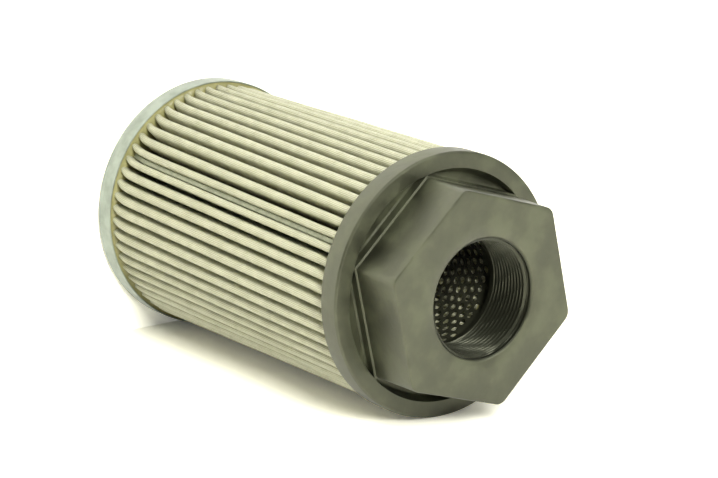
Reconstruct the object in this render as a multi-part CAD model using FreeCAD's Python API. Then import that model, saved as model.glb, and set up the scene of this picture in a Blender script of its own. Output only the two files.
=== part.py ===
"""Hydraulic suction strainer: moulded hexagon head, perforated core tube,
pleated wire mesh pack, potting rings and pressed end cap.

Lengths are millimetres. The axis of the strainer is +Z. The closed end cap
stands on z = 0, and the threaded port opens at the top. Two corners of the
hexagon lie on the Y axis.
"""
import FreeCAD
import Part
import math
import os

# Port thread, 2 inch parallel pipe thread cut in the moulding
THREAD_MINOR_DIA = 56.656   # wall of the plain bore that the thread is cut in
THREAD_MAJOR_DIA = 59.614
MOUTH_RELIEF_DEPTH = 3.0    # smooth entry before the first thread crest
MOUTH_RELIEF_GAP = 0.2      # radial room round the mating thread's crests
MOUTH_CHAMFER = 1.0
PORT_DEPTH = 28.5           # mouth to the end of the threaded length

# Moulded head
FLANGE_DIA = 134.0
FLANGE_RIM_HEIGHT = 11.7
FLANGE_EDGE_RADIUS = 1.25
RING_WIDTH = 8.6            # flat ring outside the pockets
HEX_HEIGHT = 29.5           # above the flange's front face
HEX_DRAFT = 0.2             # how much each flat leans in by the front
HEX_CORNER_BACK = 2.0       # corner rounding at the flange
HEX_CORNER_FRONT = 6.0      # corner rounding at the front face
HEX_EDGE_RADIUS = 0.8
LIP_WIDTH = 0.8             # ledge round the foot of the hexagon
LIP_HEIGHT = 0.5
POCKET_OVERLAP = 0.25       # corners run this far into the ring
POCKET_DEPTH = 5.0
POCKET_FLOOR = 2.0
SKIRT_WALL = 1.4            # wall of the cup that holds the pack

# Core tube
TUBE_WALL = 1.0
TUBE_STEP = 4.67            # tube's bore beyond the port's bore, on the radius
TUBE_SOCKET_GAP = 0.1
TUBE_SHOULDER = 2.0         # port's end to the shoulder that the tube meets
TUBE_PLAIN_END = 9.0        # sheet left without holes at each end
HOLE_DIA = 3.5
PATTERN_ALONG = 44          # hole steps along the closed round of the sheet
PATTERN_ACROSS = 12         # steps back across it, which tilts the rows
PATTERN_STRIDE = 4          # holes cut here: one in this many each way

# Pleated mesh
BODY_LENGTH = 215.5         # closed end to the flange's front face
PLEAT_COUNT = 58
MESH_THICKNESS = 0.4
CREST_BEND = 2.2            # bend radii on the middle of the sheet
SEAM_CREST_BEND = 1.2       # the two folds beside the seam
VALLEY_BEND = 0.85
CREST_FLATS = 8             # short flats that stand for the curve of a fold
VALLEY_FLATS = 4
SEAM_BEND = 0.45
MESH_TUBE_GAP = 0.3
MESH_CUP_GAP = 0.4
MESH_END_GAP = 0.5          # mesh to the head's ceiling
MESH_BED = 1.2              # adhesive under the mesh in the end cap

# Side seam
SEAM_ANGLE = -101.5         # degrees from +X
SEAM_DEPTH = 4.8            # free ends below the crests
SEAM_HALF_GAP = 0.05        # between the two free ends
SEAM_SPREAD = 0.23          # share of a pleat from the seam to its valleys
CLIP_THICKNESS = 0.5
CLIP_DEPTH = 5.5
CLIP_GAP = 0.05

# End cap and potting
CAP_HEIGHT = 12.7
CAP_SHEET = 0.8
CAP_CORNER_RADIUS = 2.8
POTTING_EDGE_DROP = 0.7     # adhesive below the cap's edge
POTTING_CLIMB = 1.6         # how far it climbs between the folds
POTTING_SLOPE_WIDTH = 5.0
HEAD_POTTING_DROP = 0.8     # adhesive inside the skirt's edge

# Worked out from the sizes above
RING_FACE_Z = BODY_LENGTH
HEX_TOP_Z = RING_FACE_Z + HEX_HEIGHT
RIM_BOTTOM_Z = RING_FACE_Z - FLANGE_RIM_HEIGHT
POCKET_FLOOR_Z = RING_FACE_Z - POCKET_DEPTH
CEILING_Z = POCKET_FLOOR_Z - POCKET_FLOOR
PORT_END_Z = HEX_TOP_Z - PORT_DEPTH
SHOULDER_Z = PORT_END_Z - TUBE_SHOULDER

FLANGE_R = FLANGE_DIA / 2
CUP_R = FLANGE_R - SKIRT_WALL
POCKET_R = FLANGE_R - RING_WIDTH
LIP_CORNER_R = POCKET_R + POCKET_OVERLAP
LIP_FLAT_R = LIP_CORNER_R * math.cos(math.pi / 6)
HEX_FLAT_R = LIP_FLAT_R - LIP_WIDTH
BORE_R = THREAD_MINOR_DIA / 2
RELIEF_R = THREAD_MAJOR_DIA / 2 + MOUTH_RELIEF_GAP

TUBE_IN_R = BORE_R + TUBE_STEP
TUBE_OUT_R = TUBE_IN_R + TUBE_WALL
MESH_IN_R = TUBE_OUT_R + MESH_TUBE_GAP
MESH_OUT_R = CUP_R - MESH_CUP_GAP
MESH_BOTTOM_Z = CAP_SHEET + MESH_BED
MESH_TOP_Z = CEILING_Z - MESH_END_GAP
CAP_IN_R = FLANGE_R - CAP_SHEET
POTTING_TOP_Z = CAP_HEIGHT - POTTING_EDGE_DROP


def vec(x, y, z=0.0):
    """A point or direction."""
    return FreeCAD.Vector(x, y, z)


def polar(radius, angle, z=0.0):
    """A point at a radius and an angle in radians."""
    return vec(radius * math.cos(angle), radius * math.sin(angle), z)


def revolve(outline):
    """Turn a closed outline of (radius, z) points round the axis."""
    points = [vec(r, 0, z) for r, z in outline]
    face = Part.Face(Part.makePolygon(points + points[:1]))
    return face.revolve(vec(0, 0), vec(0, 0, 1), 360)


def disc(radius, z_low, z_high):
    """A solid cylinder on the axis."""
    return Part.makeCylinder(radius, z_high - z_low, vec(0, 0, z_low))


def tube(inner, outer, z_low, z_high):
    """A hollow cylinder on the axis."""
    return disc(outer, z_low, z_high).cut(disc(inner, z_low, z_high))


def fillet_circle(shape, radius, at_r, at_z):
    """Round the circular edge at a given radius and height."""
    edges = []
    for edge in shape.Edges:
        curve = edge.Curve
        if not isinstance(curve, Part.Circle):
            continue
        same_r = abs(curve.Radius - at_r) < 1e-6
        same_z = abs(curve.Center.z - at_z) < 1e-6
        if same_r and same_z:
            edges.append(edge)
    return shape.makeFillet(radius, edges)


def hexagon(flat_r, z, corner=0.0):
    """A closed hexagon wire, its corners rounded by a radius if given."""
    corner_r = flat_r / math.cos(math.pi / 6)
    angles = [math.pi / 6 + i * math.pi / 3 for i in range(6)]
    if not corner:
        points = [polar(corner_r, a, z) for a in angles]
        return Part.makePolygon(points + points[:1])
    centre_r = corner_r - corner / math.cos(math.pi / 6)
    edges = []
    for i, angle in enumerate(angles):
        centre = polar(centre_r, angle, z)
        start = centre + polar(corner, angle - math.pi / 6)
        middle = centre + polar(corner, angle)
        end = centre + polar(corner, angle + math.pi / 6)
        edges.append(Part.Arc(start, middle, end).toShape())
        after = angles[(i + 1) % 6]
        next_centre = polar(centre_r, after, z)
        next_start = next_centre + polar(corner, after - math.pi / 6)
        edges.append(Part.makeLine(end, next_start))
    return Part.Wire(edges)


def hex_prism(flat_r, z_low, z_high):
    """A sharp-cornered hexagonal prism."""
    return Part.Face(hexagon(flat_r, z_low)).extrude(vec(0, 0, z_high - z_low))


def hex_body():
    """The spanner hexagon, drafted, with corners that widen to the front."""
    back = hexagon(HEX_FLAT_R, RING_FACE_Z, HEX_CORNER_BACK)
    front = hexagon(HEX_FLAT_R - HEX_DRAFT, HEX_TOP_Z, HEX_CORNER_FRONT)
    body = Part.makeLoft([back, front], True, True)
    rim = [e for e in body.Edges if e.BoundBox.ZMin > HEX_TOP_Z - 1e-6]
    return body.makeFillet(HEX_EDGE_RADIUS, rim)


def port_bore():
    """The space of the port: entry chamfer, relief, thread bore, tube socket."""
    mouth_r = RELIEF_R + MOUTH_CHAMFER
    relief_z = HEX_TOP_Z - MOUTH_RELIEF_DEPTH
    socket_r = TUBE_OUT_R + TUBE_SOCKET_GAP
    over = HEX_TOP_Z + MOUTH_CHAMFER
    return revolve([
        (0, CEILING_Z),
        (socket_r, CEILING_Z),
        (socket_r, SHOULDER_Z),
        (BORE_R, SHOULDER_Z),
        (BORE_R, relief_z),
        (RELIEF_R, relief_z),
        (RELIEF_R, HEX_TOP_Z - MOUTH_CHAMFER),
        (mouth_r, HEX_TOP_Z),
        (mouth_r, over),
        (0, over),
    ])


def hex_head():
    """Flange, skirt, pockets, hexagon and port in one moulding."""
    flange = disc(FLANGE_R, RIM_BOTTOM_Z, RING_FACE_Z)
    flange = fillet_circle(flange, FLANGE_EDGE_RADIUS, FLANGE_R, RING_FACE_Z)
    lip_top = RING_FACE_Z + LIP_HEIGHT
    lip = hex_prism(LIP_FLAT_R, POCKET_FLOOR_Z, lip_top)
    pockets = disc(POCKET_R, POCKET_FLOOR_Z, lip_top).cut(lip)
    cup = disc(CUP_R, RIM_BOTTOM_Z, CEILING_Z)
    head = flange.fuse(lip).cut(pockets).fuse(hex_body())
    head = head.cut(cup).cut(port_bore())
    return head.removeSplitter()


def hole_centres(stride):
    """Places (arc length, height) of the holes of the closed pattern."""
    round_length = math.pi * (TUBE_IN_R + TUBE_OUT_R)
    along = PATTERN_ALONG / stride
    across = PATTERN_ACROSS / stride
    steps = math.sqrt(along ** 2 + across ** 2 - along * across)
    pitch = round_length / steps
    half = math.sqrt(3) / 2
    tilt = math.atan2(across * half, along - across / 2)
    low = CAP_HEIGHT + TUBE_PLAIN_END
    high = SHOULDER_Z - TUBE_PLAIN_END
    reach = int((round_length + high) / pitch) + 2
    places = []
    for i in range(-reach, reach):
        for j in range(-reach, reach):
            s = pitch * (i * math.cos(tilt) + j * math.cos(tilt + math.pi / 3))
            z = pitch * (i * math.sin(tilt) + j * math.sin(tilt + math.pi / 3))
            if -1e-6 <= s < round_length - 1e-6 and low <= z <= high:
                places.append((s, z))
    return places


def core_tube():
    """The perforated tube that carries the pack."""
    shell = tube(TUBE_IN_R, TUBE_OUT_R, CAP_SHEET, SHOULDER_Z)
    middle_r = (TUBE_IN_R + TUBE_OUT_R) / 2
    drills = []
    for s, z in hole_centres(PATTERN_STRIDE):
        outward = polar(1, s / middle_r)
        start = polar(TUBE_IN_R - TUBE_WALL, s / middle_r, z)
        drills.append(Part.makeCylinder(HOLE_DIA / 2, 3 * TUBE_WALL, start, outward))
    return shell.cut(Part.makeCompound(drills))


class Bend:
    """One rounded fold of the sheet. A free end is a crest of no radius."""

    def __init__(self, centre, radius, crest):
        """Crests turn round the outside of the pack, valleys round the inside."""
        self.centre = centre
        self.radius = radius
        self.side = 1 if crest else -1


def leg_normal(first, second):
    """Unit vector to the right of the straight leg between two bends."""
    gap = second.centre - first.centre
    reach = (first.radius + second.radius) / gap.Length
    return polar(1, math.atan2(gap.y, gap.x) - math.acos(first.side * reach))


def free_end(side):
    """The sheet's free edge on one side of the seam plane."""
    seam = math.radians(SEAM_ANGLE)
    offset = side * (SEAM_HALF_GAP + MESH_THICKNESS / 2)
    edge = polar(MESH_OUT_R - SEAM_DEPTH, seam)
    return Bend(edge + polar(offset, seam + math.pi / 2), 0.0, True)


def pack_bends():
    """Folds of the open sheet in order, from one free end to the other."""
    pitch = 2 * math.pi / PLEAT_COUNT
    seam = math.radians(SEAM_ANGLE)
    valley_r = MESH_IN_R + MESH_THICKNESS / 2 + VALLEY_BEND
    seam_r = MESH_IN_R + MESH_THICKNESS / 2 + SEAM_BEND
    spread = SEAM_SPREAD * pitch
    bends = [free_end(1), Bend(polar(seam_r, seam + spread), SEAM_BEND, False)]
    for i in range(PLEAT_COUNT):
        angle = seam + (i + 0.5) * pitch
        radius = SEAM_CREST_BEND if i in (0, PLEAT_COUNT - 1) else CREST_BEND
        crest_r = MESH_OUT_R - MESH_THICKNESS / 2 - radius
        bends.append(Bend(polar(crest_r, angle), radius, True))
        if i < PLEAT_COUNT - 1:
            valley = polar(valley_r, angle + pitch / 2)
            bends.append(Bend(valley, VALLEY_BEND, False))
    bends.append(Bend(polar(seam_r, seam - spread), SEAM_BEND, False))
    bends.append(free_end(-1))
    return bends


def fold_points(bend, before, after, offset):
    """Points round a fold, at an offset to the right of the sheet's middle."""
    radius = bend.radius + bend.side * offset
    start = math.atan2(bend.side * before.y, bend.side * before.x)
    end = math.atan2(bend.side * after.y, bend.side * after.x)
    sweep = bend.side * ((bend.side * (end - start)) % (2 * math.pi))
    flats = CREST_FLATS if bend.side > 0 else VALLEY_FLATS
    return [bend.centre + polar(radius, start + sweep * i / flats) for i in range(flats + 1)]


def sheet_side(bends, normals, offset):
    """Points of one face of the sheet, from one free edge to the other."""
    points = [bends[0].centre + normals[0] * offset]
    for bend, before, after in zip(bends[1:-1], normals[:-1], normals[1:]):
        points += fold_points(bend, before, after, offset)
    points.append(bends[-1].centre + normals[-1] * offset)
    return points


def pleated_mesh():
    """The pleated sheet, open at the side seam."""
    bends = pack_bends()
    normals = [leg_normal(a, b) for a, b in zip(bends[:-1], bends[1:])]
    right = sheet_side(bends, normals, MESH_THICKNESS / 2)
    left = sheet_side(bends, normals, -MESH_THICKNESS / 2)
    wire = Part.makePolygon(right + left[::-1] + right[:1])
    wire.translate(vec(0, 0, MESH_BOTTOM_Z))
    return Part.Face(wire).extrude(vec(0, 0, MESH_TOP_Z - MESH_BOTTOM_Z))


def seam_clip():
    """The folded strip that grips the sheet's two free edges."""
    seam = math.radians(SEAM_ANGLE)
    end, bend = pack_bends()[:2]
    normal = leg_normal(end, bend)
    tangent = polar(1, seam + math.pi / 2)
    outer_tip = (end.centre - normal * MESH_THICKNESS / 2).dot(tangent)
    outer_tip = max(outer_tip, (end.centre + normal * MESH_THICKNESS / 2).dot(tangent))
    outward = polar(1, seam)
    lean = abs(normal.dot(outward) / normal.dot(tangent))
    tip_r = MESH_OUT_R - SEAM_DEPTH + CLIP_GAP
    foot_r = tip_r - CLIP_DEPTH
    tip_h = outer_tip + CLIP_GAP
    foot_h = tip_h + lean * CLIP_DEPTH
    corner = CLIP_THICKNESS * math.sqrt(0.5)

    def place(radius, across):
        """A point of the strip's section, across the seam plane."""
        return outward * radius + tangent * across + vec(0, 0, MESH_BOTTOM_Z)

    def bend_edge(side):
        """The rounded outer corner on one side."""
        start = place(tip_r, side * (tip_h + CLIP_THICKNESS))
        middle = place(tip_r + corner, side * (tip_h + corner))
        return Part.Arc(start, middle, place(tip_r + CLIP_THICKNESS, side * tip_h))

    edges = [
        Part.makeLine(place(tip_r, -tip_h), place(tip_r, tip_h)),
        Part.makeLine(place(tip_r, tip_h), place(foot_r, foot_h)),
        Part.makeLine(place(foot_r, foot_h), place(foot_r, foot_h + CLIP_THICKNESS)),
        Part.makeLine(place(foot_r, foot_h + CLIP_THICKNESS),
                      place(tip_r, tip_h + CLIP_THICKNESS)),
        bend_edge(1).toShape(),
        Part.makeLine(place(tip_r + CLIP_THICKNESS, tip_h),
                      place(tip_r + CLIP_THICKNESS, -tip_h)),
        bend_edge(-1).toShape(),
        Part.makeLine(place(tip_r, -tip_h - CLIP_THICKNESS),
                      place(foot_r, -foot_h - CLIP_THICKNESS)),
        Part.makeLine(place(foot_r, -foot_h - CLIP_THICKNESS), place(foot_r, -foot_h)),
        Part.makeLine(place(foot_r, -foot_h), place(tip_r, -tip_h)),
    ]
    section = Part.Face(Part.Wire(edges))
    return section.extrude(vec(0, 0, MESH_TOP_Z - MESH_BOTTOM_Z))


def end_cap():
    """The pressed cup that closes the far end."""
    shell = disc(FLANGE_R, 0, CAP_HEIGHT)
    shell = fillet_circle(shell, CAP_CORNER_RADIUS, FLANGE_R, 0)
    room = disc(CAP_IN_R, CAP_SHEET, CAP_HEIGHT)
    inner_radius = CAP_CORNER_RADIUS - CAP_SHEET
    room = fillet_circle(room, inner_radius, CAP_IN_R, CAP_SHEET)
    return shell.cut(room)


def end_potting(embedded):
    """Adhesive bed in the end cap, raised between the folds."""
    climb_z = POTTING_TOP_Z + POTTING_CLIMB
    bed = revolve([
        (TUBE_OUT_R, CAP_SHEET),
        (CAP_IN_R, CAP_SHEET),
        (CAP_IN_R, POTTING_TOP_Z),
        (CAP_IN_R - POTTING_SLOPE_WIDTH, climb_z),
        (TUBE_OUT_R, climb_z),
    ])
    inner_radius = CAP_CORNER_RADIUS - CAP_SHEET
    bed = fillet_circle(bed, inner_radius, CAP_IN_R, CAP_SHEET)
    return bed.cut(embedded)


def head_potting(embedded):
    """Adhesive ring that holds the pack in the head's skirt."""
    low = RIM_BOTTOM_Z + HEAD_POTTING_DROP
    return tube(TUBE_OUT_R, CUP_R, low, CEILING_Z).cut(embedded)


def build():
    """Every piece of the strainer by its name."""
    mesh = pleated_mesh()
    clip = seam_clip()
    return {
        "hex_head": hex_head(),
        "core_tube": core_tube(),
        "pleated_mesh": mesh,
        "seam_clip": clip,
        "head_potting": head_potting([mesh, clip]),
        "end_potting": end_potting([mesh, clip]),
        "end_cap": end_cap(),
    }


os.makedirs("parts", exist_ok=True)
for name, shape in build().items():
    shape.exportStep("parts/" + name + ".step")
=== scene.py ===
"""Dressed model of a hydraulic suction strainer.

The strainer stands on its closed end cap with its axis along +Z. Each
sub-assembly is a class with its sizes in millimetres and methods that build and
dress its meshes. Lengths are turned to metres when a mesh is made.
"""
import logging
import math
from collections.abc import Iterator
from dataclasses import dataclass, field
from enum import Enum

import bmesh
import bpy
import numpy as np
from mathutils import Matrix, Vector


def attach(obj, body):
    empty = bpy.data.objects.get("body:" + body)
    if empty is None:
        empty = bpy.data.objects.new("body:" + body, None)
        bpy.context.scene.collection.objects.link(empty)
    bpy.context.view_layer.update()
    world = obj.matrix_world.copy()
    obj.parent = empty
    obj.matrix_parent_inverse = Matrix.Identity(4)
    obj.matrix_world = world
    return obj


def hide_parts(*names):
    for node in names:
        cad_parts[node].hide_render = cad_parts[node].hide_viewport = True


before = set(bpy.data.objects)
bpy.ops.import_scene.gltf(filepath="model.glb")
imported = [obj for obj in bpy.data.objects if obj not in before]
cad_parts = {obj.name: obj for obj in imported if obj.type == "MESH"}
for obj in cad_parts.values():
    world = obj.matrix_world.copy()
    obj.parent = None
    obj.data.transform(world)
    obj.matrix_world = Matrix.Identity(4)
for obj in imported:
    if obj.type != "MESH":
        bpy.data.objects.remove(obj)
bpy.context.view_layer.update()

LOG = logging.getLogger("strainer")
ROOT = "root"
MM = 0.001


# Shared sizes of pieces that meet, in millimetres

FLANGE_R = 67.0
RING_FACE_Z = 215.5
RIM_BOTTOM_Z = 203.8
CEILING_Z = 208.5
HEX_TOP_Z = 245.0
CUP_R = 65.6
TUBE_IN_R = 33.3
TUBE_OUT_R = 34.0
SHOULDER_Z = 214.5
CAP_HEIGHT = 12.7
CAP_SHEET = 0.8
PLEATS = 58
SEAM_ANGLE = math.radians(-101.5)
WALL_GAP = 0.02     # adhesive to the cap's and the skirt's walls
TUBE_GAP = 0.05     # adhesive to the core tube

HEX_STEP = math.pi / 3      # one side of a hexagon
HALF_STEP = math.pi / 6
SHEET_UV = "developed"      # places on the unrolled mesh, in millimetres


class Slot(Enum):
    """Names of the record's material slots, one for each finish."""

    HEAD = "moulded_nylon"
    TUBE = "perforated_steel"
    MESH = "woven_stainless"
    CLIP = "clip_steel"
    POTTING = "potting_adhesive"
    CAP = "zinc_plated_steel"


def linear(hex_colour: str) -> tuple[float, float, float, float]:
    """Turn an sRGB hex colour into linear RGBA.

    Args:
        hex_colour: Six hex digits after a hash.

    Returns:
        Red, green, blue and alpha for a shader socket.
    """
    channels = []
    for i in (1, 3, 5):
        c = int(hex_colour[i:i + 2], 16) / 255
        channels.append(c / 12.92 if c <= 0.04045 else ((c + 0.055) / 1.055) ** 2.4)
    return channels[0], channels[1], channels[2], 1.0


def new_material(name: str) -> tuple[bpy.types.Material, bpy.types.NodeTree, bpy.types.Node]:
    """Make a material with nodes.

    Args:
        name: The material's name.

    Returns:
        The material, its node tree and its shader.
    """
    material = bpy.data.materials.new(name)
    material.use_nodes = True
    tree = material.node_tree
    return material, tree, tree.nodes["Principled BSDF"]


def add_node(tree: bpy.types.NodeTree, kind: str, settings: dict | None = None,
             links: dict | None = None) -> bpy.types.Node:
    """Add one shader node with its settings and links.

    Args:
        tree: The material's or world's node tree.
        kind: Blender's node type name.
        settings: Attribute names, or input names or numbers, to their values.
        links: Input names or numbers to the output sockets that feed them.

    Returns:
        The new node.
    """
    node = tree.nodes.new(kind)
    for key, value in (settings or {}).items():
        if isinstance(key, str) and hasattr(node, key):
            setattr(node, key, value)
        else:
            node.inputs[key].default_value = value
    for key, socket in (links or {}).items():
        tree.links.new(socket, node.inputs[key])
    return node


def smooth_step(x: np.ndarray | float) -> np.ndarray | float:
    """Ease from 0 to 1 as x goes from 0 to 1."""
    x = np.clip(x, 0.0, 1.0)
    return x * x * (3 - 2 * x)


def ripple(x: np.ndarray | float, seed: float) -> np.ndarray | float:
    """A smooth, repeatable wobble between about -1 and 1."""
    return (np.sin(x + seed * 1.7) + 0.6 * np.sin(x * 2.3 + seed * 4.1)
            + 0.4 * np.sin(x * 4.9 + seed * 9.3)) / 2


def quarter(steps: int) -> np.ndarray:
    """Angles over a quarter of a turn, for a rounded edge."""
    return np.linspace(0, math.pi / 2, steps)


def circle(steps: int) -> np.ndarray:
    """Evenly spaced angles round the axis."""
    return np.linspace(0, 2 * math.pi, steps, endpoint=False)


def polar_points(radii: np.ndarray, angles: np.ndarray, heights: np.ndarray) -> np.ndarray:
    """Rows of points from radius, angle and height grids."""
    x, y = radii * np.cos(angles), radii * np.sin(angles)
    return np.stack([x, y, np.broadcast_to(heights, x.shape)], -1).reshape(-1, 3)


def ring_faces(rows: int, columns: int, close_rows: bool = False) -> list[tuple[int, ...]]:
    """Quads between closed rings of points, stored ring after ring.

    Args:
        rows: Number of rings.
        columns: Number of points in each ring.
        close_rows: Whether the last ring joins the first.

    Returns:
        Vertex indices of each quad.
    """
    faces = []
    for i in range(rows if close_rows else rows - 1):
        low, high = i * columns, ((i + 1) % rows) * columns
        for j in range(columns):
            k = (j + 1) % columns
            faces.append((low + j, low + k, high + k, high + j))
    return faces


class Rings:
    """Rings of points round the axis, stacked into one skin."""

    def __init__(self, angles: np.ndarray) -> None:
        """Start without rings, with the angles that every ring has."""
        self.angles = angles
        self.radii: list[np.ndarray] = []
        self.heights: list[np.ndarray] = []

    def add(self, radius: np.ndarray | float, height: np.ndarray | float) -> None:
        """Stack one ring, round and level or not."""
        self.radii.append(radius * np.ones_like(self.angles))
        self.heights.append(height * np.ones_like(self.angles))

    def skin(self, closed: bool = True) -> tuple[np.ndarray, list[tuple[int, ...]]]:
        """Join the rings.

        Args:
            closed: Whether the last ring joins the first.

        Returns:
            Points and faces.
        """
        radii, heights = np.array(self.radii), np.array(self.heights)
        points = polar_points(radii, np.broadcast_to(self.angles, radii.shape), heights)
        return points, ring_faces(len(radii), len(self.angles), close_rows=closed)

    def capped(self, first_z: float, last_z: float) -> tuple[np.ndarray, list[tuple[int, ...]]]:
        """Join the rings and close both ends with fans to the axis.

        Args:
            first_z: Height of the middle of the first end.
            last_z: Height of the middle of the last end.

        Returns:
            Points and faces.
        """
        points, faces = self.skin(closed=False)
        count = len(self.angles)
        first, last = len(points), len(points) + 1
        row = len(points) - count
        for i in range(count):
            j = (i + 1) % count
            faces.append((first, j, i))
            faces.append((last, row + i, row + j))
        ends = np.array([[0, 0, first_z], [0, 0, last_z]])
        return np.concatenate([points, ends]), faces


def make_piece(name: str, points: np.ndarray, faces: list[tuple[int, ...]],
               material: bpy.types.Material, slot: Slot, nodes: tuple[str, ...],
               crease_deg: float = 35.0,
               uvs: np.ndarray | None = None) -> bpy.types.Object:
    """Make a mesh object that rides on the strainer.

    Args:
        name: The piece's name.
        points: Vertices in millimetres, one row each.
        faces: Vertex indices of each face.
        material: The piece's finish.
        slot: The record's slot for that finish. Not used.
        nodes: Solids that the piece stands for.
        crease_deg: Edges that bend more than this stay sharp.
        uvs: One texture place for each vertex, in millimetres, if needed.

    Returns:
        The new object.
    """
    mesh = bpy.data.meshes.new(name)
    mesh.from_pydata((np.asarray(points) * MM).tolist(), [], faces)
    if uvs is not None:
        layer = mesh.uv_layers.new(name=SHEET_UV)
        corners = np.empty(len(mesh.loops), dtype=np.int32)
        mesh.loops.foreach_get("vertex_index", corners)
        layer.data.foreach_set("uv", np.asarray(uvs, dtype=np.float32)[corners].ravel())
    mesh.validate()
    mesh.update()
    mesh.polygons.foreach_set("use_smooth", [True] * len(mesh.polygons))
    mesh.set_sharp_from_angle(angle=math.radians(crease_deg))
    mesh.materials.append(material)
    piece = bpy.data.objects.new(name, mesh)
    bpy.context.scene.collection.objects.link(piece)
    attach(piece, ROOT)
    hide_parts(*nodes)
    LOG.info("%s: %d faces", name, len(mesh.polygons))
    return piece


@dataclass(frozen=True)
class MouldedNylon:
    """Black glass-filled nylon, injection moulded.

    The glass fibres near the surface turn the black to a cloudy olive grey and
    leave a satin sheen that changes over the thick sections. Inside the port the
    colour is painted darker and the sheen turned lower, as painted shade of the bore.
    """

    base: str = "#26271C"
    cloud: str = "#383A2B"
    deep: str = "#191A12"
    cloud_size: float = 17.0
    cloud_height: float = 25.0      # against the grain's height of 1
    grain_size: float = 0.7
    grain_depth: float = 0.02
    roughness: float = 0.42
    smoother: float = 0.08
    rougher: float = 0.12
    ior: float = 1.66
    sheen_level: float = 0.7
    sheen_colour: str = "#FCFFDC"
    port_r: float = 30.3
    port_blend: float = 0.5
    # Painted shade of the bore: inside the port the colour is darker and the sheen lower.
    port_shade_colour: str = "#181912"
    port_shade_sheen: float = 0.4
    port_roughness: float = 0.3

    def material(self) -> bpy.types.Material:
        """Build the node material."""
        material, tree, shader = new_material("glass_filled_nylon")
        place = add_node(tree, "ShaderNodeTexCoord").outputs["Object"]
        clouds = add_node(tree, "ShaderNodeTexNoise",
                          {"Scale": 1 / (self.cloud_size * MM), "Detail": 3.0,
                           "Roughness": 0.55}, {"Vector": place})
        tone = add_node(tree, "ShaderNodeValToRGB", links={"Fac": clouds.outputs["Fac"]})
        ramp = tone.color_ramp
        ramp.elements[0].position, ramp.elements[0].color = 0.38, linear(self.deep)
        ramp.elements[1].position, ramp.elements[1].color = 0.64, linear(self.cloud)
        ramp.elements.new(0.5).color = linear(self.base)
        satin = add_node(tree, "ShaderNodeMapRange",
                         {"From Min": 0.3, "From Max": 0.7,
                          "To Min": self.roughness - self.smoother,
                          "To Max": self.roughness + self.rougher},
                         {"Value": clouds.outputs["Fac"]})
        grain = add_node(tree, "ShaderNodeTexNoise",
                         {"Scale": 1 / (self.grain_size * MM), "Detail": 2.0},
                         {"Vector": place})
        skin = add_node(tree, "ShaderNodeMath",
                        {"operation": "MULTIPLY_ADD", 1: self.cloud_height},
                        {0: clouds.outputs["Fac"], 2: grain.outputs["Fac"]})
        bump = add_node(tree, "ShaderNodeBump",
                        {"Strength": 1.0, "Distance": self.grain_depth * MM},
                        {"Height": skin.outputs[0]})
        port = self.port_shade_share(tree, place)
        # Painted shade: the port is mixed to a darker colour and a lower sheen, standing in for
        # the shade inside the bore.
        colour = add_node(tree, "ShaderNodeMix",
                          {"data_type": "RGBA", 7: linear(self.port_shade_colour)},
                          {"Factor": port, 6: tone.outputs["Color"]})
        sheen = add_node(tree, "ShaderNodeMapRange",
                         {"To Min": self.sheen_level, "To Max": self.port_shade_sheen},
                         {"Value": port})
        gloss = add_node(tree, "ShaderNodeMapRange", {"To Max": self.port_roughness},
                         {"Value": port, "To Min": satin.outputs["Result"]})
        shader.inputs["IOR"].default_value = self.ior
        shader.inputs["Specular Tint"].default_value = linear(self.sheen_colour)
        tree.links.new(sheen.outputs["Result"], shader.inputs["Specular IOR Level"])
        tree.links.new(colour.outputs[2], shader.inputs["Base Color"])
        tree.links.new(gloss.outputs["Result"], shader.inputs["Roughness"])
        tree.links.new(bump.outputs["Normal"], shader.inputs["Normal"])
        return material

    def port_shade_share(self, tree: bpy.types.NodeTree,
                   place: bpy.types.NodeSocket) -> bpy.types.NodeSocket:
        """Tell the port from the rest of the head by its radius, for the painted shade and the
        smoother finish there.

        Args:
            tree: The material's node tree.
            place: The point's place on the strainer.

        Returns:
            1 in the port and 0 outside it.
        """
        across = add_node(tree, "ShaderNodeVectorMath",
                          {"operation": "MULTIPLY", 1: (1, 1, 0)}, {0: place})
        radius = add_node(tree, "ShaderNodeVectorMath", {"operation": "LENGTH"},
                          {0: across.outputs["Vector"]})
        share = add_node(tree, "ShaderNodeMapRange",
                         {"From Min": self.port_r * MM,
                          "From Max": (self.port_r + self.port_blend) * MM,
                          "To Min": 1.0, "To Max": 0.0}, {"Value": radius.outputs["Value"]})
        return share.outputs["Result"]


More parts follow.
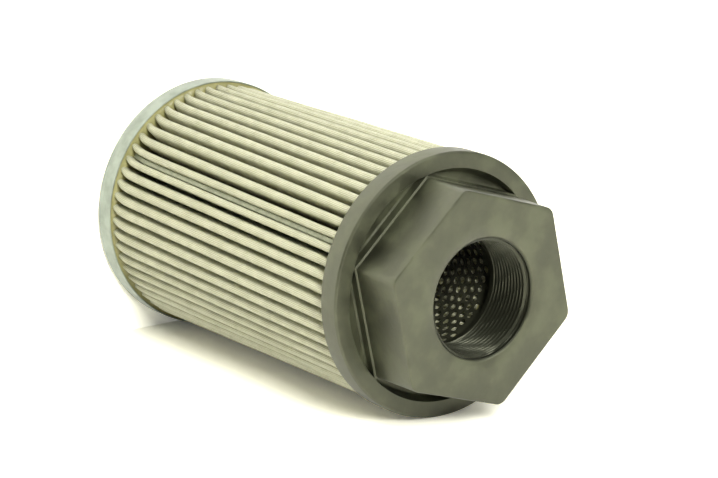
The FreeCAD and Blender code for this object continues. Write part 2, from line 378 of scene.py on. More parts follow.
@dataclass(frozen=True)
class WovenStainless:
    """Fine plain-woven stainless wire, pleated.

    The wires are too fine to tell apart, so the sheet reads as a khaki satin
    cloth with a faint cross grain, and some light comes through it. The weave
    is drawn at about four times its real pitch so that it shows.
    """

    wire: str = "#C3C3A7"
    gap: str = "#6E6D49"
    pitch: float = 0.8
    wire_height: float = 0.2
    stain_scale: float = 0.12       # to each millimetre of the developed sheet
    stain_share: float = 0.35
    roughness: float = 0.55
    through: float = 0.65
    spread: float = 1.6

    def material(self) -> bpy.types.Material:
        """Build the node material."""
        material, tree, shader = new_material("woven_stainless_mesh")
        place = add_node(tree, "ShaderNodeUVMap", {"uv_map": SHEET_UV}).outputs["UV"]
        waves = [add_node(tree, "ShaderNodeTexWave",
                          {"bands_direction": axis, "Scale": math.pi / 10 / self.pitch,
                           "Distortion": 1.2, "Detail": 2.0, "Detail Scale": 0.6},
                          {"Vector": place}).outputs["Fac"] for axis in ("X", "Y")]
        weave = add_node(tree, "ShaderNodeMath", {"operation": "MULTIPLY"},
                         {0: waves[0], 1: waves[1]})
        stain = add_node(tree, "ShaderNodeTexNoise",
                         {"Scale": self.stain_scale, "Detail": 4.0}, {"Vector": place})
        shade = add_node(tree, "ShaderNodeMath",
                         {"operation": "MULTIPLY_ADD", 1: self.stain_share},
                         {0: stain.outputs["Fac"], 2: weave.outputs[0]})
        tone = add_node(tree, "ShaderNodeValToRGB", links={"Fac": shade.outputs[0]})
        ramp = tone.color_ramp
        ramp.elements[0].position, ramp.elements[0].color = 0.05, linear(self.gap)
        ramp.elements[1].position, ramp.elements[1].color = 0.55, linear(self.wire)
        bump = add_node(tree, "ShaderNodeBump",
                        {"Strength": 0.7, "Distance": self.wire_height * MM},
                        {"Height": weave.outputs[0]})
        shader.inputs["Roughness"].default_value = self.roughness
        shader.inputs["Subsurface Weight"].default_value = self.through
        shader.inputs["Subsurface Radius"].default_value = (1.0, 1.0, 1.0)
        shader.inputs["Subsurface Scale"].default_value = self.spread * MM
        tree.links.new(tone.outputs["Color"], shader.inputs["Base Color"])
        tree.links.new(bump.outputs["Normal"], shader.inputs["Normal"])
        return material


@dataclass(frozen=True)
class PlatedSteel:
    """Zinc-plated sheet steel, rolled or pressed.

    The plating is pale with a bluish-green cast, a faint mottle from the bath
    and fine rolling or drawing lines.
    """

    name: str = "zinc_plated_steel"
    base: str = "#9CA497"
    mottle: str = "#889083"
    roughness: float = 0.34
    smoother: float = 0.06
    rougher: float = 0.08
    metallic: float = 0.7
    mottle_size: float = 9.0
    line_size: float = 0.5
    line_height: float = 0.2
    stretch: float = 18.0           # a line's length against its width

    def material(self) -> bpy.types.Material:
        """Build the node material."""
        material, tree, shader = new_material(self.name)
        place = add_node(tree, "ShaderNodeTexCoord").outputs["Object"]
        mottle = add_node(tree, "ShaderNodeTexNoise",
                          {"Scale": 1 / (self.mottle_size * MM), "Detail": 4.0},
                          {"Vector": place})
        tone = add_node(tree, "ShaderNodeValToRGB", links={"Fac": mottle.outputs["Fac"]})
        ramp = tone.color_ramp
        ramp.elements[0].position, ramp.elements[0].color = 0.35, linear(self.mottle)
        ramp.elements[1].position, ramp.elements[1].color = 0.62, linear(self.base)
        lined = add_node(tree, "ShaderNodeMapping", {"Scale": (1.0, 1.0, self.stretch)},
                         {"Vector": place})
        lines = add_node(tree, "ShaderNodeTexNoise",
                         {"Scale": 1 / (self.line_size * MM * self.stretch), "Detail": 2.0},
                         {"Vector": lined.outputs[0]})
        gloss = add_node(tree, "ShaderNodeMapRange",
                         {"From Min": 0.3, "From Max": 0.7,
                          "To Min": self.roughness - self.smoother,
                          "To Max": self.roughness + self.rougher},
                         {"Value": lines.outputs["Fac"]})
        bump = add_node(tree, "ShaderNodeBump",
                        {"Strength": 0.08, "Distance": self.line_height * MM},
                        {"Height": lines.outputs["Fac"]})
        shader.inputs["Metallic"].default_value = self.metallic
        tree.links.new(tone.outputs["Color"], shader.inputs["Base Color"])
        tree.links.new(gloss.outputs["Result"], shader.inputs["Roughness"])
        tree.links.new(bump.outputs["Normal"], shader.inputs["Normal"])
        return material


@dataclass(frozen=True)
class PottingAdhesive:
    """Two-part adhesive, poured and cured.

    It sets glossy and amber to olive, with a smooth surface that climbs what
    it wets.
    """

    base: str = "#77744B"
    thin: str = "#8C895C"
    swirl_size: float = 7.0
    swirl_height: float = 0.4
    roughness: float = 0.3
    ior: float = 1.52

    def material(self) -> bpy.types.Material:
        """Build the node material."""
        material, tree, shader = new_material("potting_adhesive")
        place = add_node(tree, "ShaderNodeTexCoord").outputs["Object"]
        swirl = add_node(tree, "ShaderNodeTexNoise",
                         {"Scale": 1 / (self.swirl_size * MM), "Detail": 3.0,
                          "Distortion": 0.6}, {"Vector": place})
        tone = add_node(tree, "ShaderNodeValToRGB", links={"Fac": swirl.outputs["Fac"]})
        ramp = tone.color_ramp
        ramp.elements[0].position, ramp.elements[0].color = 0.35, linear(self.base)
        ramp.elements[1].position, ramp.elements[1].color = 0.7, linear(self.thin)
        bump = add_node(tree, "ShaderNodeBump",
                        {"Strength": 0.15, "Distance": self.swirl_height * MM},
                        {"Height": swirl.outputs["Fac"]})
        shader.inputs["Roughness"].default_value = self.roughness
        shader.inputs["IOR"].default_value = self.ior
        tree.links.new(tone.outputs["Color"], shader.inputs["Base Color"])
        tree.links.new(bump.outputs["Normal"], shader.inputs["Normal"])
        return material


@dataclass
class HexHead:
    """The moulded head: flange, skirt, pockets, hexagon and threaded port."""

    finish: MouldedNylon = field(default_factory=MouldedNylon)
    rim_edge: float = 1.25
    rim_steps: int = 7
    pocket_r: float = 58.4
    pocket_floor_z: float = 210.5
    pocket_fade: float = 0.7
    pocket_draft: float = 2.2
    pocket_corner: float = 0.8
    lip_flat_r: float = 50.792
    lip_corner: float = 0.05
    lip_top_z: float = 216.0
    hex_flat_r: float = 49.992
    hex_draft: float = 0.2
    hex_rows: int = 9
    hex_edge: float = 0.8
    hex_edge_steps: int = 5
    corner_back: float = 2.0
    corner_front: float = 6.0
    corner_span_deg: float = 4.0
    corner_step_deg: float = 0.5
    side_step_deg: float = 2.0
    small_edge: float = 0.3
    face_shares: tuple[float, ...] = (0.06, 0.35, 0.7)
    bore_r: float = 28.328
    thread_r: float = 29.807
    relief_r: float = 30.007
    relief_depth: float = 3.0
    relief_edge: float = 0.2
    mouth_chamfer: float = 1.0
    thread_end_z: float = 216.5
    thread_pitch: float = 2.309
    crest_share: float = 0.1
    flank_share: float = 0.5
    steps_per_turn: int = 16
    socket_r: float = 34.1

    def angles(self) -> np.ndarray:
        """Angles round the head, close together at the hexagon's corners."""
        span, more = self.corner_span_deg, 0.01
        near = np.radians(np.arange(-span, span + more, self.corner_step_deg))
        start = span + self.side_step_deg
        far = np.radians(np.arange(start, 60 - start + more, self.side_step_deg))
        corners = [HALF_STEP + i * HEX_STEP for i in range(6)]
        return np.concatenate([np.concatenate([near, far]) + c for c in corners])

    def hexagon(self, angles: np.ndarray, flat_r: float, corner: float) -> np.ndarray:
        """Radius of a hexagon with rounded corners at each angle.

        Args:
            angles: Angles in radians.
            flat_r: Distance from the axis to each flat.
            corner: Radius of the corners.

        Returns:
            The radius at each angle.
        """
        off = np.abs(angles % HEX_STEP - HALF_STEP)
        flat = flat_r / np.cos(HALF_STEP - off)
        centre = (flat_r - corner) / math.cos(HALF_STEP)
        tangent = math.atan2(corner / 2, centre + corner * math.cos(HALF_STEP))
        inside = np.maximum(corner ** 2 - (centre * np.sin(off)) ** 2, 0.0)
        arc = centre * np.cos(off) + np.sqrt(inside)
        return np.where(off < tangent, arc, flat)

    def add_flange(self, rings: Rings) -> None:
        """Add the skirt's wall and the flange's rim."""
        edge = self.small_edge
        rings.add(CUP_R, CEILING_Z)
        rings.add(CUP_R, RIM_BOTTOM_Z + edge)
        rings.add(CUP_R + edge * 0.6, RIM_BOTTOM_Z)
        rings.add(FLANGE_R - edge, RIM_BOTTOM_Z)
        rings.add(FLANGE_R, RIM_BOTTOM_Z + edge)
        for turn in quarter(self.rim_steps):
            rings.add(FLANGE_R - self.rim_edge * (1 - math.cos(turn)),
                      RING_FACE_Z - self.rim_edge * (1 - math.sin(turn)))

    def add_pockets(self, rings: Rings) -> None:
        """Add the flange's face, the pockets and the lip at the hexagon's foot."""
        edge = self.small_edge
        lip = self.hexagon(rings.angles, self.lip_flat_r, self.lip_corner)
        width = np.maximum(self.pocket_r - lip, 0.0)
        open_share = smooth_step(width / self.pocket_fade)
        floor = RING_FACE_Z - (RING_FACE_Z - self.pocket_floor_z) * open_share
        outer = np.maximum(self.pocket_r, lip)
        inner = np.minimum(lip, outer)
        soft = np.minimum(edge, width / 4)
        corner = np.minimum(self.pocket_corner, width / 4)
        foot = outer - np.minimum(self.pocket_draft, width / 3)
        rings.add(outer + soft, RING_FACE_Z)
        rings.add(outer, RING_FACE_Z - soft)
        rings.add(foot + corner * 0.3, floor + corner * 0.7)
        rings.add(foot - corner * 0.7, floor)
        rings.add(inner + corner, floor)
        rings.add(inner, floor + corner)
        rings.add(inner, self.lip_top_z - edge)
        rings.add(inner - edge, self.lip_top_z)

    def add_hexagon(self, rings: Rings) -> None:
        """Add the hexagon's drafted sides, its rounded edge and its face."""
        low = self.hexagon(rings.angles, self.hex_flat_r, self.corner_back)
        rings.add(low + self.small_edge, self.lip_top_z)
        top = HEX_TOP_Z - self.hex_edge
        for height in np.linspace(self.lip_top_z + self.small_edge, top, self.hex_rows):
            t = (height - RING_FACE_Z) / (HEX_TOP_Z - RING_FACE_Z)
            flat = self.hex_flat_r - self.hex_draft * t
            round_r = self.corner_back + (self.corner_front - self.corner_back) * t
            rings.add(self.hexagon(rings.angles, flat, round_r), height)
        front = self.hexagon(rings.angles, self.hex_flat_r - self.hex_draft,
                             self.corner_front)
        for turn in np.linspace(math.pi / 10, math.pi / 2, self.hex_edge_steps):
            rings.add(front - self.hex_edge * (1 - math.cos(turn)),
                      top + self.hex_edge * math.sin(turn))
        inner = self.relief_r + self.mouth_chamfer + self.small_edge
        for share in self.face_shares:
            rings.add((front - self.hex_edge) * (1 - share) + inner * share, HEX_TOP_Z)

    def add_port(self, rings: Rings) -> None:
        """Add the mouth with its relief, the thread and the core tube's socket."""
        edge = self.small_edge
        mouth = self.relief_r + self.mouth_chamfer
        relief_z = HEX_TOP_Z - self.relief_depth
        rings.add(mouth + edge * 0.5, HEX_TOP_Z)
        rings.add(mouth, HEX_TOP_Z - edge * 0.3)
        rings.add(self.relief_r, HEX_TOP_Z - self.mouth_chamfer)
        rings.add(self.relief_r, relief_z + self.relief_edge)
        self.add_thread(rings, relief_z)
        rings.add(self.bore_r, SHOULDER_Z + edge)
        rings.add(self.bore_r + edge, SHOULDER_Z)
        rings.add(self.socket_r, SHOULDER_Z)
        rings.add(self.socket_r, CEILING_Z)

    def add_thread(self, rings: Rings, start_z: float) -> None:
        """Add the helical groove, which runs out at the port's end.

        Args:
            rings: The moulding's rings so far.
            start_z: Height of the first crest.
        """
        depth = self.thread_r - self.bore_r
        count = int((start_z - self.thread_end_z) / self.thread_pitch * self.steps_per_turn)
        for height in np.linspace(start_z, self.thread_end_z, count):
            turn = (height / self.thread_pitch - rings.angles / (2 * math.pi)) % 1.0
            wave = 1 - np.abs(2 * turn - 1)
            groove = np.clip((wave - self.crest_share) / self.flank_share, 0, 1)
            run_out = smooth_step((height - self.thread_end_z) / self.thread_pitch)
            rings.add(self.bore_r + depth * groove * run_out, height)

    def build(self) -> bpy.types.Object:
        """Make the moulding, from the skirt round the outside and down the port."""
        rings = Rings(self.angles())
        self.add_flange(rings)
        self.add_pockets(rings)
        self.add_hexagon(rings)
        self.add_port(rings)
        return make_piece("hex_head_moulding", *rings.skin(), self.finish.material(),
                          Slot.HEAD, ("hex_head",), crease_deg=40)


@dataclass
class PleatPack:
    """The pleated wire mesh: the shape of its folds, and their lean."""

    finish: WovenStainless = field(default_factory=WovenStainless)
    crest_r: float = 65.2
    valley_r: float = 34.3
    thickness: float = 0.36
    crest_bend: float = 2.05
    seam_crest_bend: float = 1.75
    seam_crest_shift: float = 0.2
    valley_bend: float = 1.3
    seam_bend: float = 0.45
    seam_spread: float = 0.23
    seam_depth: float = 4.8
    seam_gap: float = 0.05
    low_z: float = 2.0
    high_z: float = 208.0
    twist_deg: float = 7.0
    hook_deg: float = 1.7
    hook_height: float = 4.0
    press_in: float = 0.3
    press_height: float = 4.0
    pinch: float = 0.12
    pinch_height: float = 6.0
    wander_deg: float = 0.2
    wander_length: float = 42.0
    dip: float = 0.3
    dip_length: float = 45.0
    held_by_cap: float = 30.0       # reach of the adhesive's hold on the folds
    held_by_head: float = 20.0
    crest_steps: int = 8
    valley_steps: int = 3
    hook_rows: tuple[float, ...] = (9, 11.5, 13, 14.5, 16, 18, 20.5, 24, 29)
    body_low_z: float = 35.0
    body_rows: int = 30

    def lean(self, heights: np.ndarray | float) -> np.ndarray | float:
        """How far the folds have turned round the axis at a height, in radians."""
        middle = (self.low_z + self.high_z) / 2
        length = self.high_z - self.low_z
        steady = math.radians(self.twist_deg) * (heights - middle) / length
        pull = np.exp(-np.maximum(heights - CAP_HEIGHT, 0.0) / self.hook_height)
        return steady - math.radians(self.hook_deg) * pull

    def bends(self) -> list[tuple[np.ndarray, float, int, int]]:
        """Centre, radius, side (1 crest, -1 valley) and pleat of each fold."""
        pitch = 2 * math.pi / PLEATS
        half = self.thickness / 2
        valley_r = self.valley_r + half + self.valley_bend
        seam_r = self.valley_r + half + self.seam_bend

        def at(radius: float, angle: float, across: float = 0.0) -> np.ndarray:
            """A point in the plane, moved across its own radius."""
            return np.array([radius * math.cos(angle) - across * math.sin(angle),
                             radius * math.sin(angle) + across * math.cos(angle)])

        spread = self.seam_spread * pitch
        end_r = self.crest_r - self.seam_depth
        edge = self.seam_gap + half
        folds = [(at(end_r, SEAM_ANGLE, edge), 0.0, 1, 0),
                 (at(seam_r, SEAM_ANGLE + spread), self.seam_bend, -1, 0)]
        for i in range(PLEATS):
            angle = SEAM_ANGLE + (i + 0.5) * pitch
            bend, shift = self.crest_bend, 0.0
            if i in (0, PLEATS - 1):
                bend = self.seam_crest_bend
                shift = self.seam_crest_shift if i == 0 else -self.seam_crest_shift
            folds.append((at(self.crest_r - half - bend, angle, shift), bend, 1, i))
            if i < PLEATS - 1:
                folds.append((at(valley_r, angle + pitch / 2), self.valley_bend, -1, i))
        folds.append((at(seam_r, SEAM_ANGLE - spread), self.seam_bend, -1, PLEATS - 1))
        folds.append((at(end_r, SEAM_ANGLE, -edge), 0.0, 1, PLEATS - 1))
        return folds

    def section(self) -> tuple[np.ndarray, np.ndarray, np.ndarray]:
        """The sheet's section.

        Returns:
            Points along the middle of the sheet, their right-hand normals and
            the pleat that each belongs to.
        """
        folds = self.bends()
        normals = []
        for (c1, r1, s1, _), (c2, r2, _, _) in zip(folds[:-1], folds[1:]):
            gap = c2 - c1
            reach = math.acos(s1 * (r1 + r2) / math.hypot(*gap))
            normals.append(math.atan2(gap[1], gap[0]) - reach)
        points, sides, pleats = [folds[0][0]], [normals[0]], [0]

        def put(point: np.ndarray, angle: float, pleat: int) -> None:
            """Add one point of the sheet."""
            points.append(point)
            sides.append(angle)
            pleats.append(pleat)

        for k, (centre, radius, side, pleat) in enumerate(folds[1:-1]):
            before, after = normals[k], normals[k + 1]
            sweep = side * ((side * (after - before)) % (2 * math.pi))
            steps = self.crest_steps if side > 0 else self.valley_steps
            turns = [before + sweep * i / steps for i in range(steps + 1)]
            arc = [centre + side * radius * np.array([math.cos(a), math.sin(a)])
                   for a in turns]
            leg_start = points[-1]
            for share in (1 / 3, 2 / 3):
                put(leg_start + (arc[0] - leg_start) * share, before, pleat)
            for angle, place in zip(turns, arc):
                put(place, angle, pleat)
        put(folds[-1][0], normals[-1], PLEATS - 1)
        normals_xy = np.stack([np.cos(sides), np.sin(sides)], -1)
        return np.array(points), normals_xy, np.array(pleats)

    def row(self, loop: np.ndarray, pleats: np.ndarray, z: float) -> np.ndarray:
        """The section at one height, with each fold's lean, wander and dents.

        The numbers beside the pleats only set the folds' ripples apart.

        Args:
            loop: Points of the sheet's outline in the plane.
            pleats: The pleat that each point belongs to.
            z: Height of the row.

        Returns:
            The points in space.
        """
        radius = np.hypot(*loop.T)
        angle = np.arctan2(loop[:, 1], loop[:, 0])
        outward = smooth_step((radius - self.valley_r) / (self.crest_r - self.valley_r))
        crest = SEAM_ANGLE + (pleats + 0.5) * 2 * math.pi / PLEATS
        off = (angle - crest + math.pi) % (2 * math.pi) - math.pi
        above = z - CAP_HEIGHT
        free = (smooth_step(above / self.held_by_cap)
                * smooth_step((self.high_z - z) / self.held_by_head))
        wander = (ripple(z / self.wander_length + pleats * 2.1, 0.3) * 0.5
                  + ripple(pleats * 5.3, 1.0))
        turn = self.lean(z) + math.radians(self.wander_deg) * wander * outward * free
        squeeze = self.pinch * math.exp(-max(above, 0) / self.pinch_height)
        turn = turn - off * squeeze * outward ** 2
        pressed = self.press_in * (1 - smooth_step(above / self.press_height))
        dent = 0.5 + 0.5 * ripple(z / self.dip_length + pleats * 3.7, 2.0)
        out = radius - (self.dip * dent * free + pressed) * outward ** 3
        return np.stack([out * np.cos(angle + turn), out * np.sin(angle + turn),
                         np.full_like(radius, z)], -1)

    def build(self) -> bpy.types.Object:
        """Make the pleated sheet with its thickness."""
        middle, sides, pleats = self.section()
        run = np.concatenate([[0], np.cumsum(np.hypot(*np.diff(middle, axis=0).T))])
        half = self.thickness / 2
        loop = np.concatenate([middle + sides * half, (middle - sides * half)[::-1]])
        runs = np.concatenate([run, run[::-1]])
        owners = np.concatenate([pleats, pleats[::-1]])
        heights = np.concatenate([[self.low_z], self.hook_rows,
                                  np.linspace(self.body_low_z, self.high_z, self.body_rows)])
        rows = [self.row(loop, owners, z) for z in heights]
        places = [np.stack([runs, np.full_like(runs, z)], -1) for z in heights]
        count = len(loop)
        faces = ring_faces(len(heights), count)
        for low in (0, (len(heights) - 1) * count):
            for i in range(len(middle) - 1):
                quad = (low + i, low + i + 1, low + count - 2 - i, low + count - 1 - i)
                faces.append(quad if low else quad[::-1])
        return make_piece("pleated_mesh_sheet", np.concatenate(rows), faces,
                          self.finish.material(), Slot.MESH, ("pleated_mesh",),
                          crease_deg=70, uvs=np.concatenate(places))


@dataclass
class CoreTube:
    """The perforated tube, every hole of its closed pattern cut.

    The holes are drawn 0.3 mm wider than they are and the sheet 0.3 mm thinner,
    so that the mesh behind them shows as it does on the real one.
    """

    # Painted shade: the tube's base and mottle are much darker than the plating, standing in
    # for the shade deep inside the bore.
    finish: PlatedSteel = field(default_factory=lambda: PlatedSteel(
        name="perforated_zinc_steel", base="#3D3E30", mottle="#2F3025", roughness=0.45,
        metallic=0.35, mottle_size=6.0))
    low_z: float = CAP_SHEET
    high_z: float = SHOULDER_Z
    plain_end: float = 9.0
    hole_dia: float = 3.8
    along: int = 44
    across: int = 12
    facets: int = 12

    def cells(self, girth: float, pitch: float, tilt: float) -> Iterator[tuple[float, float]]:
        """Find the cells of the pattern on the tube.

        Args:
            girth: Length of the sheet round the tube.
            pitch: Distance between holes.
            tilt: Slant of the rows, in radians.

        Yields:
            Each cell's place round the sheet and its height.
        """
        reach = int((girth + self.high_z) / pitch) + 4
        for i in range(-reach, reach):
            for j in range(-reach, reach):
                s = pitch * (i * math.cos(tilt) + j * math.cos(tilt + HEX_STEP))
                z = pitch * (i * math.sin(tilt) + j * math.sin(tilt + HEX_STEP))
                round_once = -1e-6 <= s < girth - 1e-6
                if round_once and self.low_z - pitch < z < self.high_z + pitch:
                    yield s, z

    def cell_faces(self, base: int, holed: bool) -> list[tuple[int, ...]]:
        """Faces of one cell, in the outer and the inner skin.

        Args:
            base: Number of the cell's first point.
            holed: Whether the cell has a hole and its wall.

        Returns:
            Vertex indices of each face.
        """
        n = self.facets
        if not holed:
            return [tuple(base + k for k in range(n)),
                    tuple(base + n + k for k in reversed(range(n)))]
        a, b, c, d = (base + n * i for i in range(4))
        faces = []
        for k in range(n):
            m = (k + 1) % n
            faces += [(a + k, a + m, b + m, b + k), (c + m, c + k, d + k, d + m),
                      (b + k, b + m, d + m, d + k)]
        return faces

    def build(self) -> bpy.types.Object:
        """Make the tube from hexagonal cells, holed where the sheet is."""
        n = self.facets
        middle = (TUBE_IN_R + TUBE_OUT_R) / 2
        girth = 2 * math.pi * middle
        steps = math.sqrt(self.along ** 2 + self.across ** 2 - self.along * self.across)
        pitch = girth / steps
        tilt = math.atan2(self.across * math.sqrt(3) / 2, self.along - self.across / 2)
        turns = tilt + HALF_STEP + np.arange(n) * 2 * math.pi / n
        cell_r = np.where(np.arange(n) % 2 == 0, pitch / math.sqrt(3), pitch / 2)
        cell = np.stack([cell_r * np.cos(turns), cell_r * np.sin(turns)], -1)
        hole = self.hole_dia / 2 * np.stack([np.cos(turns), np.sin(turns)], -1)
        first, last = CAP_HEIGHT + self.plain_end, SHOULDER_Z - self.plain_end
        points: list[np.ndarray] = []
        faces: list[tuple[int, ...]] = []
        for s, z in self.cells(girth, pitch, tilt):
            holed = first <= z <= last
            faces += self.cell_faces(len(points) * n, holed)
            for radius in (TUBE_OUT_R, TUBE_IN_R):
                for loop in (cell, hole) if holed else (cell,):
                    height = np.clip(z + loop[:, 1], self.low_z, self.high_z)
                    points.append(polar_points(np.full(n, radius),
                                               (s + loop[:, 0]) / middle, height))
        piece = make_piece("perforated_tube", np.concatenate(points), faces,
                           self.finish.material(), Slot.TUBE, ("core_tube",))
        self.join_cells(piece)
        return piece

    def join_cells(self, piece: bpy.types.Object) -> None:
        """Join the cells to an outer and an inner skin.

        The two ends butt on the end cap and on the head, and stay open there.

        Args:
            piece: The tube, which is changed.
        """
        work = bmesh.new()
        work.from_mesh(piece.data)
        bmesh.ops.remove_doubles(work, verts=work.verts, dist=1e-6)
        bmesh.ops.dissolve_degenerate(work, edges=work.edges, dist=1e-7)
        work.to_mesh(piece.data)
        work.free()


@dataclass
class EndCap:
    """The pressed cup on the closed end."""

    finish: PlatedSteel = field(default_factory=PlatedSteel)
    corner: float = 2.8
    under_r: tuple[float, ...] = (20.0, 45.0)
    floor_r: float = 40.0
    corner_steps: int = 9
    lip_steps: int = 9
    bend_steps: int = 6
    segments: int = 180

    def build(self) -> bpy.types.Object:
        """Make the cup as one turned skin."""
        rings = Rings(circle(self.segments))
        for radius in self.under_r:
            rings.add(radius, 0.0)
        for turn in quarter(self.corner_steps):
            rings.add(FLANGE_R - self.corner + self.corner * math.sin(turn),
                      self.corner * (1 - math.cos(turn)))
        lip = CAP_SHEET / 2
        for turn in np.linspace(0, math.pi, self.lip_steps):
            rings.add(FLANGE_R - lip + lip * math.cos(turn),
                      CAP_HEIGHT - lip + lip * math.sin(turn))
        bend = self.corner - CAP_SHEET
        for turn in quarter(self.bend_steps)[::-1]:
            rings.add(FLANGE_R - CAP_SHEET - bend + bend * math.sin(turn),
                      CAP_SHEET + bend * (1 - math.cos(turn)))
        rings.add(self.floor_r, CAP_SHEET)
        return make_piece("pressed_end_cap", *rings.capped(0.0, CAP_SHEET),
                          self.finish.material(), Slot.CAP, ("end_cap",), crease_deg=30)


@dataclass
class EndPotting:
    """The adhesive bed in the end cap, climbing between the folds."""

    pack: PleatPack
    adhesive: bpy.types.Material
    edge_drop: float = 0.7
    climb: float = 1.2
    slope_width: float = 4.0
    wall_bead: float = 0.2
    slope_shares: tuple[float, ...] = (0.0, 0.08, 0.2, 0.35, 0.5, 0.7, 0.85, 1.0)
    flat_r: tuple[float, ...] = (50.0, 42.0, TUBE_OUT_R + TUBE_GAP)
    steps_per_pleat: int = 10

    def build(self) -> bpy.types.Object:
        """Make the bed's skin."""
        rings = Rings(circle(PLEATS * self.steps_per_pleat))
        wall = FLANGE_R - CAP_SHEET - WALL_GAP
        surface = CAP_HEIGHT - self.edge_drop
        lean = self.pack.lean(surface + 1.0)
        pleat = (rings.angles - lean - SEAM_ANGLE) * PLEATS / (2 * math.pi)
        at_crest = np.abs(2 * (pleat % 1.0) - 1)
        uneven = 0.5 * ripple(np.floor(pleat) * 3.1, 0.7)
        rings.add(TUBE_OUT_R + TUBE_GAP, CAP_SHEET)
        rings.add(wall, CAP_SHEET + WALL_GAP / 2)
        for share in self.slope_shares:
            rise = self.climb * smooth_step(share) * (0.75 + 0.25 * at_crest + 0.2 * uneven)
            bead = self.wall_bead * (1 - share) ** 6
            rings.add(wall - self.slope_width * share, surface + rise + bead)
        for radius in self.flat_r:
            rings.add(radius, surface + self.climb * (1 + 0.1 * uneven))
        return make_piece("end_cap_adhesive", *rings.skin(), self.adhesive,
                          Slot.POTTING, ("end_potting",), crease_deg=60)


@dataclass
class HeadPotting:
    """The adhesive ring in the head's skirt, seen only between the folds."""

    adhesive: bpy.types.Material
    drop: float = 0.8
    hollow_r: float = 50.0
    hollow: float = 0.3
    edge_width: float = 1.0
    edge_hollow: float = 0.2
    segments: int = 180

    def build(self) -> bpy.types.Object:
        """Make the ring."""
        low, high = RIM_BOTTOM_Z + self.drop, CEILING_Z - WALL_GAP
        rings = Rings(circle(self.segments))
        rings.add(TUBE_OUT_R + TUBE_GAP, high)
        rings.add(TUBE_OUT_R + TUBE_GAP, low)
        rings.add(self.hollow_r, low + self.hollow)
        rings.add(CUP_R - self.edge_width, low + self.edge_hollow)
        rings.add(CUP_R - WALL_GAP, low)
        rings.add(CUP_R - WALL_GAP, high)
        return make_piece("head_adhesive", *rings.skin(), self.adhesive,
                          Slot.POTTING, ("head_potting",), crease_deg=60)


@dataclass
class SeamClip:
    """The folded strip on the mesh's two free edges, leaning with the folds."""

    pack: PleatPack
    finish: PlatedSteel = field(default_factory=lambda: PlatedSteel(
        name="clip_strip_steel", base="#A9AD94", mottle="#93977F", roughness=0.55,
        metallic=0.3, mottle_size=5.0))
    thickness: float = 0.5
    depth: float = 5.5
    half_width: float = 0.8
    flare: float = 0.04
    edge_room: float = 0.05
    steps: int = 30

    def section(self) -> np.ndarray:
        """Radius and sideways place of each corner of the folded strip."""
        tip = self.pack.crest_r - self.pack.seam_depth + self.edge_room
        foot = tip - self.depth
        outer = self.half_width + self.thickness
        bend = [(tip + self.thickness * math.sin(turn),
                 self.half_width + self.thickness * math.cos(turn))
                for turn in np.linspace(math.pi / 2, math.pi / 8, 4)]
        return np.array([
            (foot, self.half_width + self.flare), (tip, self.half_width),
            (tip, -self.half_width), (foot, -self.half_width - self.flare),
            (foot, -outer - self.flare), (tip, -outer),
            *[(radius, -side) for radius, side in reversed(bend)],
            *bend, (tip, outer), (foot, outer + self.flare)])

    def build(self) -> bpy.types.Object:
        """Make the strip."""
        radius, side = self.section().T
        rows = []
        for z in np.linspace(self.pack.low_z, self.pack.high_z, self.steps):
            turn = SEAM_ANGLE + self.pack.lean(z)
            rows.append(np.stack([radius * math.cos(turn) - side * math.sin(turn),
                                  radius * math.sin(turn) + side * math.cos(turn),
                                  np.full_like(radius, z)], -1))
        count = len(radius)
        faces = ring_faces(self.steps, count)
        faces.append(tuple(reversed(range(count))))
        faces.append(tuple((self.steps - 1) * count + i for i in range(count)))
        return make_piece("seam_clip_strip", np.concatenate(rows), faces,
                          self.finish.material(), Slot.CLIP, ("seam_clip",), crease_deg=50)


def direction(azimuth: float, elevation: float) -> Vector:
    """Unit vector from the strainer towards an azimuth and elevation in radians."""
    return Vector((math.cos(elevation) * math.cos(azimuth),
                   math.cos(elevation) * math.sin(azimuth), math.sin(elevation)))


@dataclass(frozen=True)
class Lamp:
    """One soft square lamp aimed at the strainer.

    A power of 1 lights a white surface that faces the lamp to full white. A
    lamp that isn't mirrored leaves no highlight on glossy pieces.
    """

    name: str
    power: float
    azimuth_deg: float
    elevation_deg: float
    mirrored: bool = True
    distance: float = 1.4
    size: float = 0.4
    target_z: float = 0.12

    def build(self) -> None:
        """Make the lamp."""
        data = bpy.data.lights.new(self.name, "AREA")
        data.shape = "SQUARE"
        data.size = self.size
        data.energy = self.power * math.pi ** 2 * self.distance ** 2
        lamp = bpy.data.objects.new(self.name, data)
        away = direction(math.radians(self.azimuth_deg), math.radians(self.elevation_deg))
        lamp.location = Vector((0, 0, self.target_z)) + away * self.distance
        lamp.rotation_euler = away.to_track_quat("Z", "Y").to_euler()
        lamp.visible_glossy = self.mirrored
        bpy.context.scene.collection.objects.link(lamp)


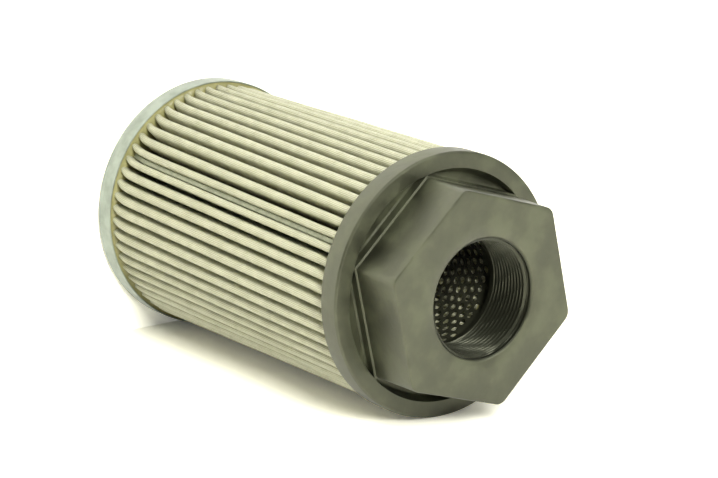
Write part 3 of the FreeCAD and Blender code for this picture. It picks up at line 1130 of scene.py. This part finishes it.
@dataclass
class Studio:
    """The pale floor and bench, soft light and the camera, in metres."""

    lamps: tuple[Lamp, ...] = (Lamp("key", 0.24, 217, 34), Lamp("front", 0.3, 165, 52),
                               Lamp("port", 1.4, -134, 57, mirrored=False))
    world_light: float = 0.28
    pale: tuple[float, ...] = (0.86, 0.85, 0.8, 1)
    pale_to_camera: tuple[float, ...] = (1.16, 1.14, 0.97, 1)
    floor_half: float = 2.5
    floor_z: float = -0.0001        # just under the cap, so that the two don't flicker
    floor_glow: float = 0.12
    bench_half: float = 1.5
    bench_angle: float = math.radians(17.9)
    bench_glow: float = 0.03
    lens: float = 143.91
    sensor: float = 36.0
    distance: float = 1.46195
    azimuth: float = math.radians(-96.62336)
    elevation: float = math.radians(50.77954)
    roll: float = math.radians(109.4558)
    aim: tuple[float, float, float] = (-0.0073169, 0.0008496, 0.1401431)
    clip_end: float = 20.0

    def white(self, name: str, glow: float) -> bpy.types.Material:
        """A white surface that keeps shadows and is clear from behind.

        Args:
            name: The material's name.
            glow: Light added for camera, glossy and transmitted rays.

        Returns:
            The material.
        """
        material, tree, _ = new_material(name)
        tree.nodes.clear()
        out = add_node(tree, "ShaderNodeOutputMaterial")
        path = add_node(tree, "ShaderNodeLightPath").outputs
        seen = add_node(tree, "ShaderNodeMath", {"operation": "MAXIMUM"},
                        {0: path["Is Camera Ray"], 1: path["Is Glossy Ray"]})
        seen = add_node(tree, "ShaderNodeMath", {"operation": "MAXIMUM"},
                        {0: seen.outputs[0], 1: path["Is Transmission Ray"]})
        shade = add_node(tree, "ShaderNodeMix",
                         {"data_type": "RGBA", 6: self.pale, 7: self.pale_to_camera},
                         {"Factor": path["Is Camera Ray"]})
        diffuse = add_node(tree, "ShaderNodeBsdfDiffuse", links={"Color": shade.outputs[2]})
        power = add_node(tree, "ShaderNodeMath", {"operation": "MULTIPLY", 1: glow},
                         {0: seen.outputs[0]})
        light = add_node(tree, "ShaderNodeEmission", {"Color": (1, 1, 1, 1)},
                         {"Strength": power.outputs[0]})
        both = add_node(tree, "ShaderNodeAddShader",
                        links={0: diffuse.outputs[0], 1: light.outputs[0]})
        side = add_node(tree, "ShaderNodeNewGeometry")
        clear = add_node(tree, "ShaderNodeBsdfTransparent")
        result = add_node(tree, "ShaderNodeMixShader",
                          links={0: side.outputs["Backfacing"], 1: both.outputs[0],
                                 2: clear.outputs[0]})
        tree.links.new(result.outputs[0], out.inputs["Surface"])
        return material

    def plane(self, name: str, corners: list[Vector], material: bpy.types.Material) -> None:
        """Make one flat stage surface."""
        mesh = bpy.data.meshes.new(name)
        mesh.from_pydata([tuple(c) for c in corners], [], [tuple(range(len(corners)))])
        mesh.materials.append(material)
        surface = bpy.data.objects.new(name, mesh)
        bpy.context.scene.collection.objects.link(surface)

    def surfaces(self) -> None:
        """Make the floor, and the bench that the strainer's side lies on."""
        wide, low = self.floor_half, self.floor_z
        self.plane("floor", [Vector((-wide, -wide, low)), Vector((wide, -wide, low)),
                             Vector((wide, wide, low)), Vector((-wide, wide, low))],
                   self.white("pale_floor", self.floor_glow))
        out = direction(self.bench_angle, 0)
        along = Vector((-out.y, out.x, 0)) * self.bench_half
        rise = Vector((0, 0, self.bench_half))
        foot = out * FLANGE_R * MM
        self.plane("bench", [foot + along, foot - along, foot - along + rise,
                             foot + along + rise], self.white("pale_bench", self.bench_glow))

    def build(self) -> None:
        """Make the surfaces, lamps, world and camera."""
        self.surfaces()
        for lamp in self.lamps:
            lamp.build()
        self.world()
        self.camera()

    def world(self) -> None:
        """White surroundings, plain for light and full white for the camera."""
        world = bpy.data.worlds.new("studio")
        bpy.context.scene.world = world
        world.use_nodes = True
        tree = world.node_tree
        back = tree.nodes["Background"]
        back.inputs["Color"].default_value = (1, 1, 1, 1)
        path = add_node(tree, "ShaderNodeLightPath")
        strength = add_node(tree, "ShaderNodeMapRange",
                            {"To Min": self.world_light, "To Max": 1.0},
                            {"Value": path.outputs["Is Camera Ray"]})
        tree.links.new(strength.outputs["Result"], back.inputs["Strength"])

    def camera(self) -> None:
        """Place the camera at the photograph's angle, rolled as it is there."""
        data = bpy.data.cameras.new("camera")
        data.lens = self.lens
        data.sensor_width = self.sensor
        data.clip_end = self.clip_end
        away = direction(self.azimuth, self.elevation)
        camera = bpy.data.objects.new("camera", data)
        level_right = (-away).cross(Vector((0, 0, 1))).normalized()
        level_up = level_right.cross(-away)
        right = level_right * math.cos(self.roll) + level_up * math.sin(self.roll)
        turn = Matrix((right, away.cross(right), away)).transposed().to_4x4()
        place = Matrix.Translation(Vector(self.aim) + away * self.distance)
        camera.matrix_world = place @ turn
        bpy.context.scene.collection.objects.link(camera)
        bpy.context.scene.camera = camera


def main() -> None:
    """Build every piece, the studio and the camera."""
    logging.basicConfig(level=logging.INFO)
    bpy.context.scene.view_settings.view_transform = "Standard"
    pack = PleatPack()
    adhesive = PottingAdhesive().material()
    HexHead().build()
    pack.build()
    SeamClip(pack).build()
    CoreTube().build()
    EndPotting(pack, adhesive).build()
    HeadPotting(adhesive).build()
    EndCap().build()
    Studio().build()


if __name__ == "__main__":
    main()
